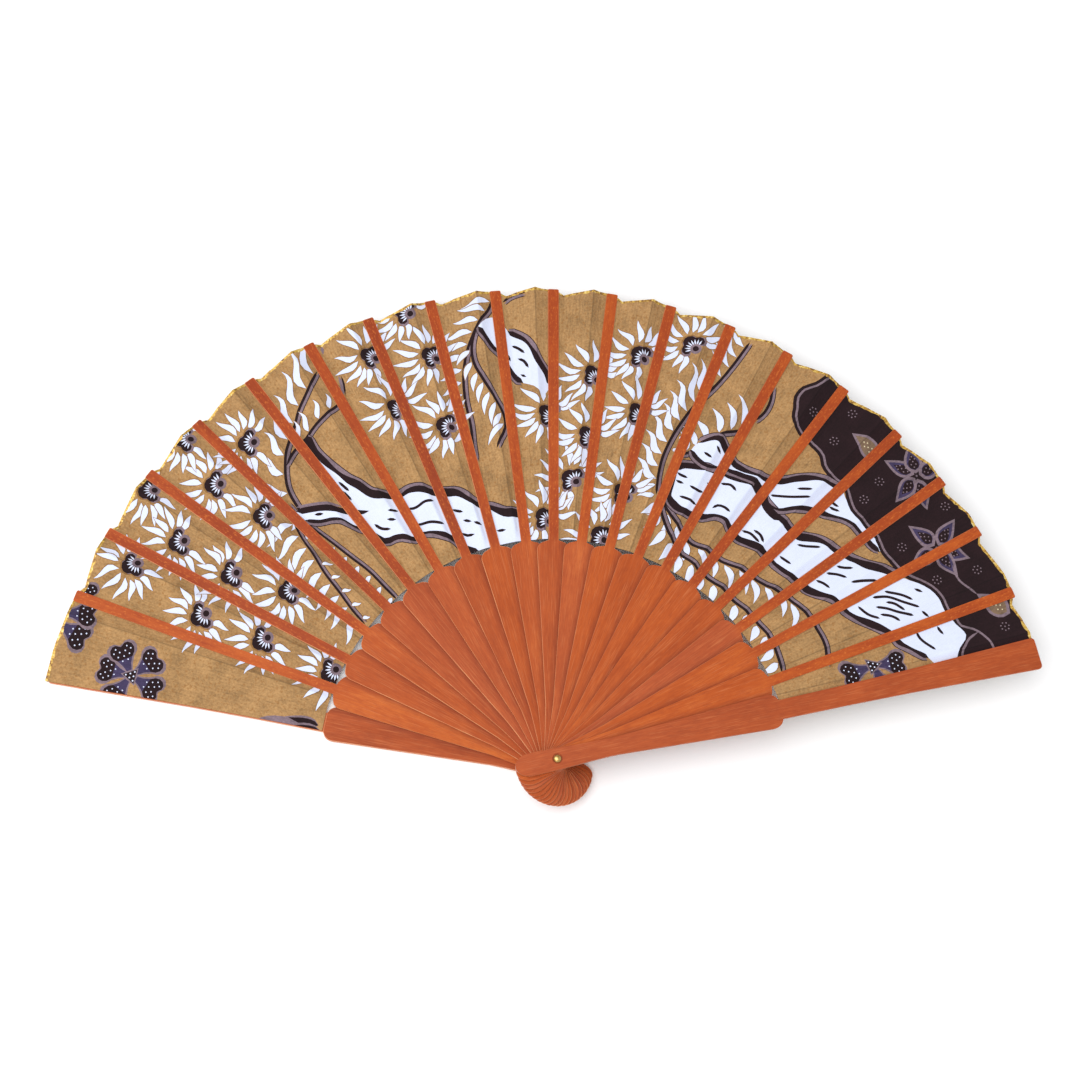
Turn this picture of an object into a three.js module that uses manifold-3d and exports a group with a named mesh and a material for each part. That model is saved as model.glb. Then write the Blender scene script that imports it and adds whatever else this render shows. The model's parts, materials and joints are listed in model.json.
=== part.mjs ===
// Folding hand fan: two guards and nineteen ribs turning on one rivet, with a pleated cloth leaf.
// Millimetres. The fan lies open and flat: +Z runs up the rivet from the rear guard's outer face,
// and +Y runs along the middle rib. Each stick has a layer of its own, the front guard on top.
import * as THREE from 'three';
import { mergeVertices } from 'three/addons/utils/BufferGeometryUtils.js';
import Module from 'manifold-3d';

const wasm = await Module();
wasm.setup();

// ---- driving dimensions ----
const RIB_COUNT = 19;
const MIDDLE_RIB = 10;
// Opening between each stick and the next, from the rear guard to the front guard, in degrees.
// The leaf is glued on by hand, so the sticks don't stand at quite equal angles.
const OPENING = [
  8.5, 8.1, 8.3, 8.1, 8.0, 8.2, 7.7, 7.7, 7.9, 7.0,
  7.1, 7.2, 7.5, 7.6, 7.9, 8.3, 7.7, 7.3, 8.2, 7.7,
];

const REACH = 210;          // rivet axis to the tip of a stick
const HEEL = 17.5;          // rivet axis to the heel end
const GUARD_THICK = 2.2;
const RIB_THICK = 0.95;
const LAYER = 1.05;         // rib thickness and the clearance to the next stick
const CLEARANCE = LAYER - RIB_THICK;
const REBATE = 0.5;         // taken off a stick's back beyond the shoulder, to make room for cloth
const REAR_REBATE = 0.3;    // taken off the rear guard's face, where the cloth is glued on

const HEEL_HALF = 4.6;      // half widths of a stick, from heel to shoulder
const HEEL_AT = -11;
const WAIST_HALF = 3.6;
const WAIST_AT = 25;
const SHOULDER_HALF = 7.1;
const SHOULDER_AT = 91;
const STRIP_AT = 95.6;      // where the shoulder ends and the strip begins
const CORNER_PULL = 2.4;    // the shoulder's corner curve: how far it aims past the shoulder,
const CORNER_SHARE = 0.45;  // the share of the way in to the strip where it ends,
const CORNER_DROP = 1;      // and how far that end lies before the strip
const RIB_STRIP = [2.15, 2.45];    // half width of a rib's strip at the shoulder and at the tip
const GUARD_STRIP = [4.0, 6.8];
const GUARD_FLARE = 1.7;
const TIP_ROUND = [0.7, 1.6];      // corner radius of a rib's tip and a guard's tip

const PIN_R = 1.2;
const HOLE_R = 1.3;
const FRONT_HEAD_R = 1.7;
const FRONT_SINK_R = 2.15;
const FRONT_SINK = 0.5;
const REAR_HEAD_R = 2.3;
const REAR_SINK_R = 2.5;
const REAR_SINK = 1.0;
const HEAD_RIM = 0.25;      // height of the front head's straight edge
const HEAD_DOME = 0.9;      // rise of its dome
const PIN_PLAY = 0.05;      // between the pin and its heads' seats
const HEAD_FLUSH = 0.1;     // the rear head stays this far below the guard's face

const CLOTH = 0.2;
const CLOTH_GAP = 0.06;     // between the cloth and the strip that it is glued behind
const LEAF_IN = 96.2;
const LEAF_OUT = 209.6;
const LEAF_RISE = 3.2;      // height of a pleat's ridge at the rim, above the cloth behind the strips
const LEAF_DIP = 0.8;       // depth of its valley
const RIDGE_ANGLE = 2.3;    // ridge, to the left of its rib, in degrees
const VALLEY_X = [3.0, 4.8];       // valley, to the right of its rib, at the shoulder and at the rim
const FLAT_EDGE = 0.3;      // cloth stays flat this far past the strip's edge
const SEAM_HALF = 0.15;     // half the gap between pleats, behind each strip
const GUARD_RIDGE = 2.6;    // ridge beside the front guard, past the guard's edge
const GUARD_RIDGE_RISE = 0.9;
const GUARD_VALLEY = 0.8;   // fold beside the rear guard, past the guard's edge
const SHUT_RIDGE_ROOM = 0.35;      // kept free above a ridge and below a valley in the shut fan
const SHUT_VALLEY_ROOM = 0.2;
const LEAF_START = [-1, 6];        // the folds grow from nothing to full height between these
const LEAF_ROWS = [0, 3, 6, 29, 57, 86];   // radii where a pleat is drawn, past LEAF_IN

// ---- materials ----
const woodMaterial = new THREE.MeshStandardMaterial({ color: 0xb85c30, roughness: 0.55, metalness: 0 });
const brassMaterial = new THREE.MeshStandardMaterial({ color: 0xc9a04a, roughness: 0.3, metalness: 1 });
const clothMaterial = new THREE.MeshStandardMaterial({ color: 0xb58a4e, roughness: 0.9, metalness: 0 });

// ---- layers and angles: stick 0 is the rear guard, stick 20 the front guard ----
const FRONT = RIB_COUNT + 1;
const rad = THREE.MathUtils.degToRad;
const lerp = THREE.MathUtils.lerp;
const fromMiddle = (k) => OPENING.slice(Math.min(k, MIDDLE_RIB), Math.max(k, MIDDLE_RIB))
  .reduce((sum, gap) => sum + gap, 0);
const stickAngle = (k) => 90 + Math.sign(MIDDLE_RIB - k) * fromMiddle(k);
const stickBottom = (k) => (k === 0 ? 0 : GUARD_THICK + CLEARANCE + (k - 1) * LAYER);
const isGuard = (k) => k === 0 || k === FRONT;
const TOP = stickBottom(FRONT) + GUARD_THICK;

const stripShare = (y) => THREE.MathUtils.clamp((y - STRIP_AT) / (REACH - STRIP_AT), 0, 1);
const stripHalf = (guard, y) => (guard
  ? lerp(...GUARD_STRIP, stripShare(y) ** GUARD_FLARE)
  : lerp(...RIB_STRIP, stripShare(y)));

// ---- sticks ----
function stickShape(guard) {
  // One side of the outline from the heel's end to the tip, then the same points mirrored.
  const side = [];
  for (let i = 1; i <= 8; i++) {
    const a = (i / 8) * (Math.PI / 2);
    side.push([HEEL_HALF * Math.sin(a), HEEL_AT - (HEEL + HEEL_AT) * Math.cos(a)]);
  }
  for (let i = 1; i <= 6; i++) {
    const t = i / 6;
    const ease = (1 - Math.cos(Math.PI * t)) / 2;
    side.push([lerp(HEEL_HALF, WAIST_HALF, ease), lerp(HEEL_AT, WAIST_AT, t)]);
  }
  side.push([SHOULDER_HALF, SHOULDER_AT]);
  const root = stripHalf(guard, STRIP_AT);
  const corner = new THREE.QuadraticBezierCurve(
    new THREE.Vector2(SHOULDER_HALF, SHOULDER_AT),
    new THREE.Vector2(SHOULDER_HALF, SHOULDER_AT + CORNER_PULL),
    new THREE.Vector2(lerp(SHOULDER_HALF, root, CORNER_SHARE), STRIP_AT - CORNER_DROP),
  );
  corner.getPoints(5).slice(1).forEach((p) => side.push([p.x, p.y]));
  side.push([root, STRIP_AT]);
  const steps = guard ? 8 : 1;
  const round = TIP_ROUND[guard ? 1 : 0];
  for (let i = 1; i <= steps; i++) {
    const y = lerp(STRIP_AT, REACH - round, i / steps);
    side.push([stripHalf(guard, y), y]);
  }
  const tip = stripHalf(guard, REACH);
  for (let i = 1; i <= 3; i++) {
    const a = (i / 3) * (Math.PI / 2);
    side.push([tip - round * (1 - Math.cos(a)), REACH - round * (1 - Math.sin(a))]);
  }
  const outline = [[0, -HEEL], ...side, ...side.map(([x, y]) => [-x, y]).reverse()];
  const shape = new THREE.Shape(outline.map(([x, y]) => new THREE.Vector2(x, y)));
  const hole = new THREE.Path();
  hole.absarc(0, 0, HOLE_R, 0, 2 * Math.PI, true);
  shape.holes.push(hole);
  return shape;
}

function toSolid(geometry) {
  const bare = geometry.clone();
  bare.deleteAttribute('normal');
  bare.deleteAttribute('uv');
  const merged = mergeVertices(bare, 1e-5);
  return new wasm.Manifold(new wasm.Mesh({
    numProp: 3,
    vertProperties: new Float32Array(merged.attributes.position.array),
    triVerts: new Uint32Array(merged.index.array),
  }));
}

function toGeometry(solid) {
  const { vertProperties, triVerts } = solid.getMesh();
  const geometry = new THREE.BufferGeometry();
  geometry.setAttribute('position', new THREE.BufferAttribute(vertProperties, 3));
  geometry.setIndex(new THREE.BufferAttribute(triVerts, 1));
  geometry.computeVertexNormals();
  return geometry;
}

function cutAway(geometry, ...tools) {
  return toGeometry(tools.reduce((solid, tool) => solid.subtract(toSolid(tool)), toSolid(geometry)));
}

function boxAt(y0, y1, z0, z1) {
  const box = new THREE.BoxGeometry(4 * SHOULDER_HALF, y1 - y0, z1 - z0);
  return box.translate(0, (y0 + y1) / 2, (z0 + z1) / 2);
}

function discAt(radius, z0, z1) {
  const disc = new THREE.CylinderGeometry(radius, radius, z1 - z0, 32);
  return disc.rotateX(Math.PI / 2).translate(0, 0, (z0 + z1) / 2);
}

function plank(guard, thickness) {
  return new THREE.ExtrudeGeometry(stickShape(guard), {
    depth: thickness, bevelEnabled: false, curveSegments: 12,
  });
}

function stickGeometry(k) {
  const past = REACH + 1;
  if (k === 0) {
    return cutAway(
      plank(true, GUARD_THICK),
      boxAt(STRIP_AT, past, GUARD_THICK - REAR_REBATE, GUARD_THICK + 1),
      discAt(REAR_SINK_R, -1, REAR_SINK),
    );
  }
  const rebate = boxAt(STRIP_AT, past, -1, REBATE);
  if (k === FRONT) {
    return cutAway(
      plank(true, GUARD_THICK),
      rebate,
      discAt(FRONT_SINK_R, GUARD_THICK - FRONT_SINK, GUARD_THICK + 1),
    );
  }
  return cutAway(plank(false, RIB_THICK), rebate);
}

// ---- rivet: a pin with a flush rear head and a domed front head ----
function turned(points) {
  const profile = points.map(([r, z]) => new THREE.Vector2(r, z));
  return new THREE.LatheGeometry(profile, 32).rotateX(Math.PI / 2);
}

function frontHeadGeometry() {
  const seat = TOP - FRONT_SINK + PIN_PLAY;
  const dome = [];
  for (let i = 0; i <= 6; i++) {
    const a = (i / 6) * (Math.PI / 2);
    dome.push([i === 6 ? 0 : FRONT_HEAD_R * Math.cos(a), seat + HEAD_RIM + HEAD_DOME * Math.sin(a)]);
  }
  return turned([[0, seat], [FRONT_HEAD_R, seat], ...dome]);
}

const pinFrom = REAR_SINK - PIN_PLAY;
const pinTo = TOP - FRONT_SINK;

// ---- leaf: one pleat between each stick and the next ----
const stripBack = (k) => stickBottom(k) + REBATE;
const flatLevel = (k) => (k === 0
  ? GUARD_THICK - REAR_REBATE + CLOTH_GAP + CLOTH / 2
  : stripBack(k) - CLOTH_GAP - CLOTH / 2);
// Folded shut, a ridge has to stay under the front guard and a valley over the rear guard.
const ridgeRise = (k) => Math.min(LEAF_RISE, (FRONT - k) * LAYER - SHUT_RIDGE_ROOM);
const valleyDip = (k) => Math.min(LEAF_DIP, (k - 1) * LAYER + SHUT_VALLEY_ROOM);
const reliefAt = (r) => (r / LEAF_OUT)
  * THREE.MathUtils.smoothstep(r - LEAF_IN, LEAF_START[0], LEAF_START[1]);
const leafShare = (r) => (r - LEAF_IN) / (LEAF_OUT - LEAF_IN);

// A point r from the rivet axis, x to the right of stick k's centre line, as [angle, height].
const beside = (k, r, x, z) => [rad(stickAngle(k)) - Math.asin(x / r), z];

function pleatSection(k, r) {
  // From stick k on the left to stick k + 1 on the right.
  const right = k + 1;
  const half = (stick) => stripHalf(isGuard(stick), r);
  const relief = reliefAt(r);
  const a = flatLevel(k);
  const b = flatLevel(right);
  const points = [];
  if (k === 0) {
    points.push(beside(k, r, -half(k) + FLAT_EDGE, a));
    points.push(beside(k, r, 0, a));
    points.push(beside(k, r, half(k) + GUARD_VALLEY, a));
  } else {
    points.push(beside(k, r, SEAM_HALF, a));
    points.push(beside(k, r, half(k) + FLAT_EDGE, a));
    points.push(beside(k, r, lerp(...VALLEY_X, leafShare(r)), a - valleyDip(k) * relief));
  }
  const valley = points.at(-1);
  const ridge = right === FRONT
    ? beside(right, r, -half(right) - GUARD_RIDGE, b + GUARD_RIDGE_RISE * relief)
    : beside(right, r, -r * Math.sin(rad(RIDGE_ANGLE)), b + ridgeRise(right) * relief);
  for (const t of [1 / 3, 2 / 3]) {
    points.push([lerp(valley[0], ridge[0], t), lerp(valley[1], ridge[1], t)]);
  }
  points.push(ridge);
  points.push(beside(right, r, -half(right) - FLAT_EDGE, b));
  if (right === FRONT) {
    points.push(beside(right, r, 0, b));
    points.push(beside(right, r, half(right) - FLAT_EDGE, b));
  } else {
    points.push(beside(right, r, -SEAM_HALF, b));
  }
  return points;
}

function pleatGeometry(k) {
  const radii = [...LEAF_ROWS.map((past) => LEAF_IN + past), LEAF_OUT];
  const rows = radii.map((r) => pleatSection(k, r));
  const columns = rows[0].length;
  const positions = [];
  for (const side of [1, -1]) {
    rows.forEach((row, i) => row.forEach(([angle, z]) => {
      positions.push(radii[i] * Math.cos(angle), radii[i] * Math.sin(angle), z + side * CLOTH / 2);
    }));
  }
  const under = rows.length * columns;
  const at = (row, column, bottom) => row * columns + column + (bottom ? under : 0);
  const index = [];
  const quad = (a, b, c, d) => index.push(a, b, c, a, c, d);
  for (let i = 0; i + 1 < rows.length; i++) {
    for (let j = 0; j + 1 < columns; j++) {
      quad(at(i, j), at(i, j + 1), at(i + 1, j + 1), at(i + 1, j));
      quad(at(i, j, true), at(i + 1, j, true), at(i + 1, j + 1, true), at(i, j + 1, true));
    }
    const last = columns - 1;
    quad(at(i, 0), at(i + 1, 0), at(i + 1, 0, true), at(i, 0, true));
    quad(at(i, last), at(i, last, true), at(i + 1, last, true), at(i + 1, last));
  }
  const rim = rows.length - 1;
  for (let j = 0; j + 1 < columns; j++) {
    quad(at(0, j), at(0, j, true), at(0, j + 1, true), at(0, j + 1));
    quad(at(rim, j), at(rim, j + 1), at(rim, j + 1, true), at(rim, j, true));
  }
  const geometry = new THREE.BufferGeometry();
  geometry.setAttribute('position', new THREE.Float32BufferAttribute(positions, 3));
  geometry.setIndex(index);
  geometry.computeVertexNormals();
  return geometry;
}

// ---- assembly ----
const fan = new THREE.Group();
const twoDigits = (n) => String(n).padStart(2, '0');

function addPart(name, geometry, material) {
  const mesh = new THREE.Mesh(geometry, material);
  mesh.name = name;
  fan.add(mesh);
  return mesh;
}

function stickName(k) {
  if (k === 0) return 'rear_guard';
  return k === FRONT ? 'front_guard' : `rib_${twoDigits(k)}`;
}

for (let k = 0; k <= FRONT; k++) {
  const stick = addPart(stickName(k), stickGeometry(k), woodMaterial);
  stick.rotation.z = rad(stickAngle(k) - 90);
  stick.position.z = stickBottom(k);
}

addPart('rivet_pin', discAt(PIN_R, pinFrom, pinTo), brassMaterial);
addPart('rivet_head_front', frontHeadGeometry(), brassMaterial);
addPart('rivet_head_rear', discAt(REAR_HEAD_R, 0, REAR_SINK - HEAD_FLUSH), brassMaterial);

for (let k = 0; k < FRONT; k++) {
  addPart(`leaf_pleat_${twoDigits(k + 1)}`, pleatGeometry(k), clothMaterial);
}

export default fan;
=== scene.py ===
"""Looks for the folding fan: printed cloth leaf, sandalwood sticks, brass rivet, camera and light.

Design lengths are millimetres and angles are degrees on the open fan: the rivet's axis is the origin,
90 degrees is the middle rib, and radii run out from the rivet. Blender's objects are in metres.
Stick 0 is the rear guard, sticks 1 to 19 are the ribs and stick 20 is the front guard.
"""
import json
import random
from math import atan2, cos, degrees, pi, radians, sin

import bpy
import numpy as np
from mathutils import Matrix, Vector
from mathutils.geometry import delaunay_2d_cdt


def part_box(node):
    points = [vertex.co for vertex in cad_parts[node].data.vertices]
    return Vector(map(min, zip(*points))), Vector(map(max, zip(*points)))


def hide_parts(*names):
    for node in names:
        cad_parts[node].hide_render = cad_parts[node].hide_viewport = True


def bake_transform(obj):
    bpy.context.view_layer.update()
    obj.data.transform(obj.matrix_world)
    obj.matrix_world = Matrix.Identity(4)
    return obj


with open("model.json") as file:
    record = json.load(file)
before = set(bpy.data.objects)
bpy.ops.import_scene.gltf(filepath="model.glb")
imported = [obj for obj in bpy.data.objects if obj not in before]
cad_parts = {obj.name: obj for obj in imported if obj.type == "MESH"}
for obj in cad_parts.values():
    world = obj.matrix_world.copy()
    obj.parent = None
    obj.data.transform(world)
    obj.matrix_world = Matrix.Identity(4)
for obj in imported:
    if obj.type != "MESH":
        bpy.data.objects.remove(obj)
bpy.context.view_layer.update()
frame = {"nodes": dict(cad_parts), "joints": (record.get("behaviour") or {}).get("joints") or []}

MM = 0.001

# ---- the fan's own dimensions, as the CAD part has them ----
FRONT = 20
REAR_ANGLE = 169.5
GAPS = [joint["range_deg"][1] for joint in frame["joints"]]
ANGLES = [REAR_ANGLE - sum(GAPS[:k]) for k in range(FRONT + 1)]
REACH = 210.0  # radius of the sticks' tips
WAIST = (25.0, 3.6)  # radius and half width of a blade at its narrowest
SHOULDER = (91.0, 7.1)  # and where it is widest
STRIP_AT = 95.6  # radius where the thin strips begin
RIB_STRIP = (2.15, 2.45)  # half widths of a strip at its two ends
GUARD_STRIP = (4.0, 6.8)
GUARD_FLARE = 1.7  # above 1, a guard widens mostly near its tip
RIB_THICK = 0.95
LAYER = 1.05  # from one rib's face to the next one's
REBATE = 0.5  # depth of the hollow behind a strip, for the cloth
REAR_FACE = 1.9  # height of the rear guard's face under the cloth
CLOTH = 0.2
CLOTH_GAP = 0.06  # between the cloth and the stick it is glued to
LEAF_IN = 96.2  # radii of the leaf
LEAF_OUT = 209.6
LEAF_RISE = 3.2  # of a ridge over its stick, and dip of a valley, at the rim
LEAF_DIP = 0.8
RIDGE_ANGLE = 2.3  # from a ridge to the stick on its right
VALLEY_X = (3.0, 4.8)  # from a valley to the stick on its left, at the leaf's two radii
FLAT_EDGE = 0.3  # the cloth stays flat this far past a strip
GUARD_RIDGE = 2.6  # from the last ridge to the front guard's edge, and its rise
GUARD_RIDGE_RISE = 0.9
GUARD_VALLEY = 0.8  # from the first valley to the rear guard's edge

# ---- finer dimensions, seen only here ----
SEAM_HALF = 0.02  # between two pleats, behind a strip
FOLD_ROUND = 0.5  # a fold's crease is rounded this far to each side
FOLD_FADE = (1.0, 7.0)  # the folds grow from this far inside LEAF_IN, over this length
DIP_SPARE = 0.2  # of the first valleys, below their own layers
RIDGE_STEP = 0.3  # between two shut ridges near the front guard
RIDGE_SPARE = 0.05  # and more room under the front guard
RIDGE_FALL = 0.75  # below 1, the cloth drops from a ridge steeply at first
SLIP_RAISE = 0.05  # of the cloth's way between two shut strips, and its added half height
SLIP_SPREAD = 0.04
RIM_AT_RIB = 210.0  # the cloth's rim runs a little in and out with the folds
RIM_AT_VALLEY = 207.7
RIM_AT_RIDGE = 209.8
RIM_AT_GUARD = 211.0
RIM_UNEVEN = 0.12
PAST_RIM = 213.0  # radius of print past the rim
GILT = (0.7, 1.5)  # width of the gilt line, from and to
STATIONS = [97.5, 99, 100.5, 102.5, 107] + list(range(116, 206, 10))  # radii of a pleat's cross-lines
SHARP = 32  # degrees between two faces that meet in a sharp edge
THREAD_UNIT = 10.0  # of cloth, to one unit of its UV map
SHADE_BAND = 2.4  # width of the painted shade on a blade, beside the next one
HIGHLIGHT_FROM = 14  # sticks left of this one get a painted highlight on their edges, up to the palest
HIGHLIGHT_TO = 7
EASED = 0.22  # width of a stick's eased edges
CREASE_SHADE = 3.6  # of the painted shade along a ridge's crease, times the dye's spread
FINISH_SHARE = 0.77  # of their full colour, for all but the floor


def stick_name(k):
    if k == 0:
        return "rear_guard"
    return "front_guard" if k == FRONT else f"rib_{k:02d}"


def stick_half(k, r):
    """Half the width of stick k's strip at radius r."""
    share = np.clip((r - STRIP_AT) / (REACH - STRIP_AT), 0, 1)
    if k in (0, FRONT):
        return GUARD_STRIP[0] + (GUARD_STRIP[1] - GUARD_STRIP[0]) * share**GUARD_FLARE
    return RIB_STRIP[0] + (RIB_STRIP[1] - RIB_STRIP[0]) * share


def flat_level(k):
    """Height of the cloth's middle where it is glued to stick k."""
    if k == 0:
        return REAR_FACE + CLOTH_GAP + CLOTH / 2
    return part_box(stick_name(k))[0].z / MM + REBATE - CLOTH_GAP - CLOTH / 2


def relief(r):
    """Share of their full height that the folds have at radius r."""
    t = np.clip((r - LEAF_IN + FOLD_FADE[0]) / FOLD_FADE[1], 0, 1)
    return r / LEAF_OUT * t * t * (3 - 2 * t)


class Pleat:
    """The leaf between stick k and stick k + 1: flat, valley, ridge and flat, in that order."""

    def __init__(self, k):
        self.k = k
        self.left, self.right = radians(ANGLES[k]), radians(ANGLES[k + 1])
        self.gap = self.left - self.right
        self.low, self.high = flat_level(k), flat_level(k + 1)

    def edge(self, r, x):
        """Angle of a line x to the right of stick k."""
        return self.left - np.arcsin(x / r)

    def far_edge(self, r, x):
        """Angle of a line x to the left of stick k + 1."""
        return self.right + np.arcsin(x / r)

    def valley_x(self, r):
        if self.k == 0:
            return stick_half(0, r) + GUARD_VALLEY
        share = (r - LEAF_IN) / (LEAF_OUT - LEAF_IN)
        return VALLEY_X[0] + (VALLEY_X[1] - VALLEY_X[0]) * share

    def ridge_x(self, r):
        if self.k + 1 == FRONT:
            return stick_half(FRONT, r) + GUARD_RIDGE
        return r * sin(radians(RIDGE_ANGLE))

    def valley_z(self, r):
        dip = min(LEAF_DIP, (self.k - 1) * LAYER + DIP_SPARE) if self.k else 0
        return self.low - dip * relief(r)

    def ridge_z(self, r):
        rise = min(LEAF_RISE, (FRONT - self.k - 1) * (LAYER - RIDGE_STEP) - RIDGE_SPARE)
        return self.high + (GUARD_RIDGE_RISE if self.k + 1 == FRONT else rise) * relief(r)

    def folds(self, r):
        """Angles of the two folds and of the flats' edges, left to right, and the heights there."""
        near = self.edge(r, stick_half(self.k, r) + FLAT_EDGE)
        valley = self.edge(r, self.valley_x(r))
        ridge = self.far_edge(r, self.ridge_x(r))
        far = self.far_edge(r, stick_half(self.k + 1, r) + FLAT_EDGE)
        heights = (self.low + 0 * r, self.valley_z(r), self.ridge_z(r), self.high + 0 * r)
        return (near, valley, ridge, far), heights

    def sharp_height(self, angle, r):
        """Height of the cloth's middle, with its creases sharp."""
        at, z = self.folds(r)
        height = np.where(angle >= at[0], z[0], z[3])
        for i in range(3):
            share = (at[i] - angle) / (at[i] - at[i + 1])
            inside = (angle < at[i]) & (angle >= at[i + 1])
            if i == 2:
                share = np.clip(share, 0, 1) ** RIDGE_FALL
            height = np.where(inside, z[i] + (z[i + 1] - z[i]) * share, height)
        return height

    def height(self, angle, r):
        """Height of the cloth's middle, with its creases rounded."""
        steps = np.linspace(-FOLD_ROUND, FOLD_ROUND, 5)
        return sum(self.sharp_height(angle + s / r, r) for s in steps) / len(steps)

    def crossing(self, r):
        """Where on the slope the cloth slips between the two sticks when they are shut, as shares."""
        under = self.low + CLOTH / 2
        if self.k:
            under = self.low + CLOTH_GAP + CLOTH / 2 + REBATE - (LAYER - RIB_THICK) + SLIP_RAISE
        middle = (under + self.high - CLOTH / 2) / 2
        half = (self.high - CLOTH / 2 - under) / 2 - CLOTH / 2 + SLIP_SPREAD
        span = self.ridge_z(r) - self.valley_z(r)
        share = (middle - self.valley_z(r)) / span
        return share - half / span, share + half / span

    def weight(self, angle, r):
        """How far each point goes with stick k + 1: 0 up to the valley, 1 from the ridge on. Between
        them the shut cloth lies over stick k, then slips over its strip, then rises to the ridge."""
        (_, valley, ridge, _), _ = self.folds(r)
        t = np.clip((valley - angle) / (valley - ridge), 0, 1)
        first, last = self.crossing(r)
        places = (self.valley_x(r), stick_half(self.k, r) + FLAT_EDGE,
                  -stick_half(self.k + 1, r) - FLAT_EDGE, -self.ridge_x(r))
        shares = (0 * r, first, last, 0 * r + 1)
        x = places[0]
        for i in range(3):
            s = np.clip((t - shares[i]) / (shares[i + 1] - shares[i]), 0, 1)
            x = np.where(t >= shares[i], places[i] + (places[i + 1] - places[i]) * s, x)
        turned = self.edge(r, x) - angle
        return np.where(t <= 0, 0, np.where(t >= 1, 1, turned / self.gap))

    def rim(self, angle):
        """Radius of the cloth's outer edge."""
        (_, valley, ridge, _), _ = self.folds(np.array(RIM_AT_RIB))
        at = [self.right, ridge, valley, self.left]
        radii = [RIM_AT_RIB, RIM_AT_RIDGE, RIM_AT_VALLEY, RIM_AT_RIB]
        if self.k == 0:
            radii[2:] = [RIM_AT_GUARD, RIM_AT_GUARD]
        return float(np.interp(angle, at, radii))


# ---- drawing the print: outlines in millimetres on the open fan ----
print_shapes = []          # (colour, outline), later ones lie over earlier ones


def draw(colour, outline):
    print_shapes.append((colour, np.asarray(outline, float)))


def out_at(angle, radius):
    """The point at a radius and an angle in radians."""
    return np.array([cos(angle), sin(angle)]) * radius


def spot(angle, radius):
    return out_at(radians(angle), radius)


def turned(points, heading):
    a = radians(heading)
    turn = np.array([[cos(a), sin(a)], [-sin(a), cos(a)]])
    return np.asarray(points, float) @ turn


def curve(places, step=2.0):
    """A smooth line through (angle, radius) places, as points about step apart."""
    knots = np.array([spot(*place) for place in places])
    p = np.vstack([2 * knots[0] - knots[1], knots, 2 * knots[-1] - knots[-2]])
    line = []
    for a, b, c, d in zip(p, p[1:], p[2:], p[3:]):
        count = max(2, int(np.linalg.norm(c - b) / step))
        for t in np.arange(count) / count:
            cubic = (-a + 3 * b - 3 * c + d) * t**3
            line.append((2 * b + (c - a) * t + (2 * a - 5 * b + 4 * c - d) * t**2 + cubic) / 2)
    line.append(knots[-1])
    return np.array(line)


def sides(line):
    """Unit tangents, the unit vectors to their left, and the length run, along a line."""
    tangent = np.gradient(line, axis=0)
    tangent /= np.linalg.norm(tangent, axis=1)[:, None]
    left = np.stack([-tangent[:, 1], tangent[:, 0]], axis=1)
    steps = np.linalg.norm(np.diff(line, axis=0), axis=1)
    return tangent, left, np.concatenate([[0], np.cumsum(steps)])


THINNEST = 0.06  # width of a brush stroke at its very ends


def ribbon(line, width, offset=0.0, taper=2.5, start=None):
    """A brush stroke along a line, offset to its left and narrowing at its ends."""
    _, left, run = sides(line)
    from_start = run / (taper if start is None else start)
    share = np.clip(np.minimum(from_start, (run[-1] - run) / taper), 0, 1)
    half = (np.maximum(np.sqrt(share) * width, THINNEST) / 2)[:, None]
    middle = line + left * offset
    return np.vstack([middle + left * half, (middle - left * half)[::-1]])


def blade(base, heading, length, width, bend=0.0, sway=0.0, steps=7):
    """A pointed leaf from base; bend bows it to its left and sway gives it the shape of an S."""
    t = np.linspace(0, 1, steps + 1)
    across = length * (bend * np.sin(pi * t) + sway * np.sin(2 * pi * t))
    half = width / 2 * np.sin(pi * t**0.66)
    near = np.stack([t * length, across + half], axis=1)
    away = np.stack([t * length, across - half], axis=1)[1:-1][::-1]
    return turned(np.vstack([near, away]), heading) + base


def disc(centre, radius, count=12, heading=0.0, squash=1.0):
    a = np.arange(count) / count * 2 * pi
    ring = np.stack([np.cos(a), np.sin(a) * squash], axis=1) * radius
    return turned(ring, heading) + centre


def stroke(colour, places, width, offset=0.0):
    draw(colour, ribbon(curve(places), width, offset))


def stem(places, mauve_side=-1, width=1.2):
    """A dark line with a mauve one beside it. The line is given back, for its fronds."""
    line = curve(places)
    draw("dark", ribbon(line, width * 0.6, mauve_side * width * 1.4))
    draw("mauve", ribbon(line, width, mauve_side * width * 0.9))
    draw("dark", ribbon(line, width))
    return line


def fronds(line, side, lean, share, count, lengths, width=2.5, bend=0.0, sway=0.06, gap=0.9):
    """White leaves along a share of a line, on its left (side 1) or its right (side -1)."""
    tangent, left, run = sides(line)
    chance = random.Random(int(run[-1] * 10) + count)
    for i in range(count):
        along = share[0] + (share[1] - share[0]) * i / max(1, count - 1)
        at, way, out = (np.array([np.interp(along * run[-1], run, rows[:, c]) for c in (0, 1)])
                        for rows in (line, tangent, left))
        heading = degrees(atan2(way[1], way[0])) + side * lean + chance.uniform(-5, 5)
        length = lengths[0] + (lengths[1] - lengths[0]) * i / max(1, count - 1)
        length *= chance.uniform(0.9, 1.1)
        petal(at + out * side * gap, heading, length, width, side * bend, side * sway, 7)


EYE_TURN = -130  # a daisy's eye looks back and to the right of the way out from the rivet
EYE_AT = 3.9
PETALS = 12  # round a daisy's heart, all but its notch
PETAL_STEP = 24
LASHES = 8  # white strokes round the eye's far side
LASH_STEP = 20
HEART = [(1.3, 0), (2.0, 1.9), (3.5, 2.4), (4.2, 3.6), (3.5, 5.0), (1.8, 5.4), (0.4, 4.6), (-0.5, 3.0),
         (-2.0, 2.4), (-3.0, 0.8)]


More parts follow.
